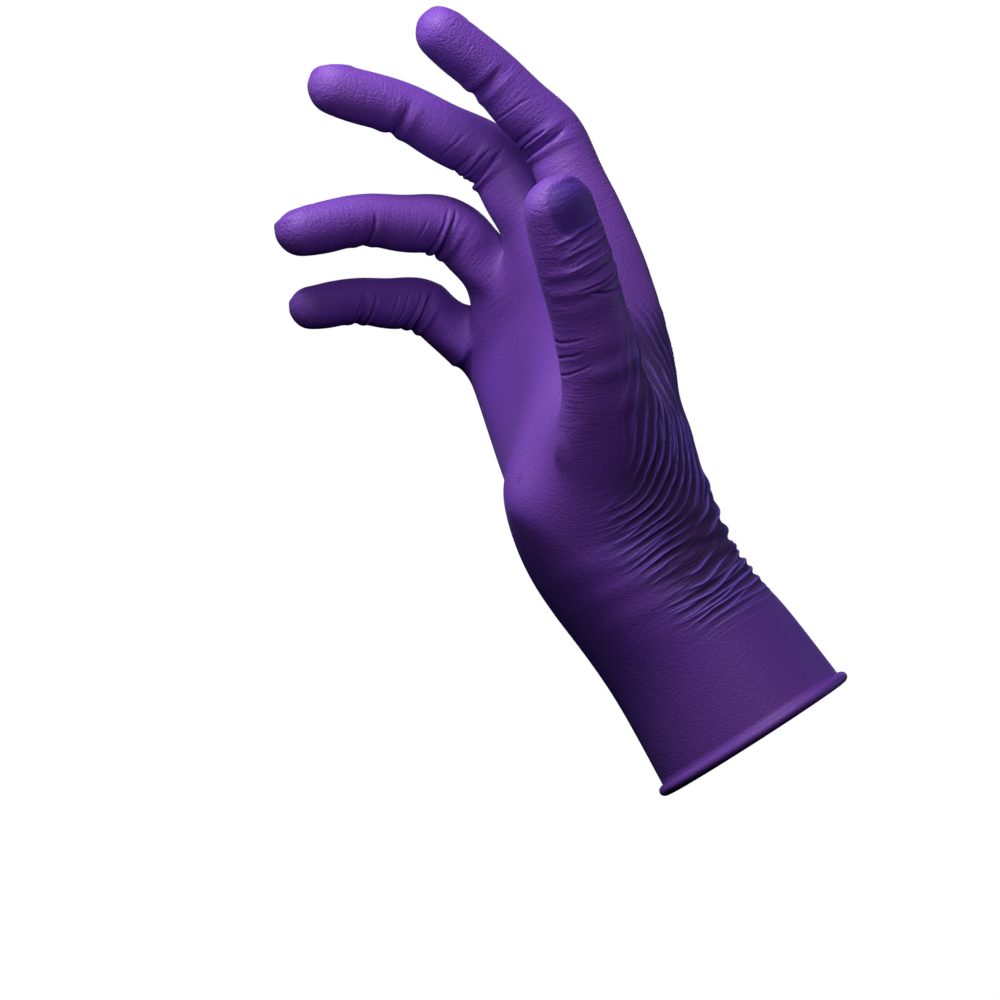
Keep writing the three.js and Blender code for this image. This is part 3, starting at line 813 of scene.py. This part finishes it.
def gloveFinish():
    nitrile = Finish("nitrile")
    place = nitrile.coordinates()
    phaseA, phaseB, flow = nitrile.mark("phases")
    strongA, strongB, level = nitrile.mark("strengths")
    thumbPlateShade, plate, cross = nitrile.mark("plates")

    # crest shapes the gathers' bump, places their painted highlight and clears their painted shade
    crest = sharpCrest(phaseA, strongA, skin["crestPower"]).maths(
        "MAXIMUM", sharpCrest(phaseB, strongB, skin["crestPower"]))
    drift = nitrile.noise(place, skin["driftScale"], 2, 0.5)
    hairPhase = flow * skin["hairPerMm"] + drift * skin["hairDrift"]
    patches = nitrile.noise(place, skin["patchScale"], 1, 0.5)
    hair = sharpCrest(hairPhase, level, skin["hairPower"]) * patches

    tone = nitrile.noise(place, skin["toneScale"], 3, 0.55)
    colour = filmColour(nitrile, tone, crest, level, thumbPlateShade)
    roughness = tone * skin["toneRoughness"] + level * skin["gatherRoughness"] + skin["roughness"]
    grain = filmGrain(nitrile, place, plate, cross)
    near = nitrile.bump(skin["bump"], skin["grainDepth"], grain)
    bump = nitrile.bump(skin["bump"], skin["crestDepth"], crest + hair * skin["hairShare"], near)
    shader = nitrile.shader
    nitrile.feed(shader.inputs["Base Color"], colour)
    nitrile.feed(shader.inputs["Roughness"], roughness)
    nitrile.feed(shader.inputs["Normal"], bump)
    shader.inputs["Sheen Weight"].default_value = skin["sheen"]
    shader.inputs["Sheen Roughness"].default_value = skin["sheenRoughness"]
    shader.inputs["Sheen Tint"].default_value = skin["sheenTint"]
    shader.inputs["IOR"].default_value = skin["ior"]
    shader.inputs["Specular IOR Level"].default_value = skin["specular"]
    return nitrile.material


glove.data.materials.clear()
glove.data.materials.append(gloveFinish())
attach(glove, "root")
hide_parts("glove")
print("glove finished")


# Studio: a white bowl all round that glows evenly and casts no shadow, and soft lights

# Each light stands away from middle: to the picture's right, upwards and towards the camera
studio = {
    "radius": 3.2, "floor": -1.6, "segments": 64, "rings": 32,
    "pale": (0.93, 0.93, 0.94, 1), "paperRoughness": 0.9, "glow": (1, 1, 1, 1), "glowStrength": 1,
    "air": (0.5, 0.5, 1, 1), "airStrength": 0.01,
    "middle": (0.01, 0, 0.115),
}
lights = [
    {"name": "key", "at": (-0.15, 0.34, 0.15), "size": 0.14, "power": 2.1,
     "colour": (1, 0.98, 0.88)},
    {"name": "front", "at": (-0.06, 0.17, 0.36), "size": 0.14, "power": 0.62,
     "colour": (1, 0.9, 0.9)},
    {"name": "left", "at": (-0.37, 0.17, 0.02), "size": 0.14, "power": 0.2,
     "colour": (0.75, 0.85, 1)},
    {"name": "behind", "at": (0.76, 0.08, -0.25), "size": 0.4, "power": 1.1,
     "colour": (0.7, 0.65, 1)},
    {"name": "back", "at": (0.15, 0.25, -0.9), "size": 0.4, "power": 4,
     "colour": (0.8, 0.75, 1), "glossy": False},
]


def makeBackdrop():
    bpy.ops.mesh.primitive_uv_sphere_add(
        segments=studio["segments"], ring_count=studio["rings"], radius=studio["radius"])
    bowl = bpy.context.object
    bowl.name = "backdrop"
    points = pointsOf(bowl)
    points[:, 2] = np.maximum(points[:, 2], studio["floor"])
    setPoints(bowl, points)
    only(bowl)
    bpy.ops.object.mode_set(mode="EDIT")
    bpy.ops.mesh.select_all(action="SELECT")
    bpy.ops.mesh.normals_make_consistent(inside=True)
    bpy.ops.object.mode_set(mode="OBJECT")
    bpy.ops.object.shade_smooth()
    paper = Finish("paper")
    paper.shader.inputs["Base Color"].default_value = studio["pale"]
    paper.shader.inputs["Roughness"].default_value = studio["paperRoughness"]
    paper.shader.inputs["Emission Color"].default_value = studio["glow"]
    paper.shader.inputs["Emission Strength"].default_value = studio["glowStrength"]
    bowl.data.materials.append(paper.material)
    bowl.visible_diffuse = False
    bowl.visible_glossy = False
    bowl.visible_shadow = False


def addLight(name, at, size, power, colour, glossy=True):
    offset = cameraAxes @ Vector(at)
    bpy.ops.object.light_add(type="AREA", location=Vector(studio["middle"]) + offset)
    lamp = bpy.context.object
    lamp.name = name
    lamp.rotation_euler = offset.to_track_quat("Z", "Y").to_euler()
    lamp.data.size = size
    lamp.data.energy = power
    lamp.data.color = colour
    lamp.visible_camera = False
    lamp.visible_glossy = glossy


def fillWithAir():
    world = bpy.data.worlds.new("studio air")
    scene.world = world
    world.use_nodes = True
    air = world.node_tree.nodes["Background"]
    air.inputs["Color"].default_value = studio["air"]
    air.inputs["Strength"].default_value = studio["airStrength"]


makeBackdrop()
for light in lights:
    addLight(**light)
fillWithAir()
scene.view_settings.view_transform = "Standard"
print("studio lit")
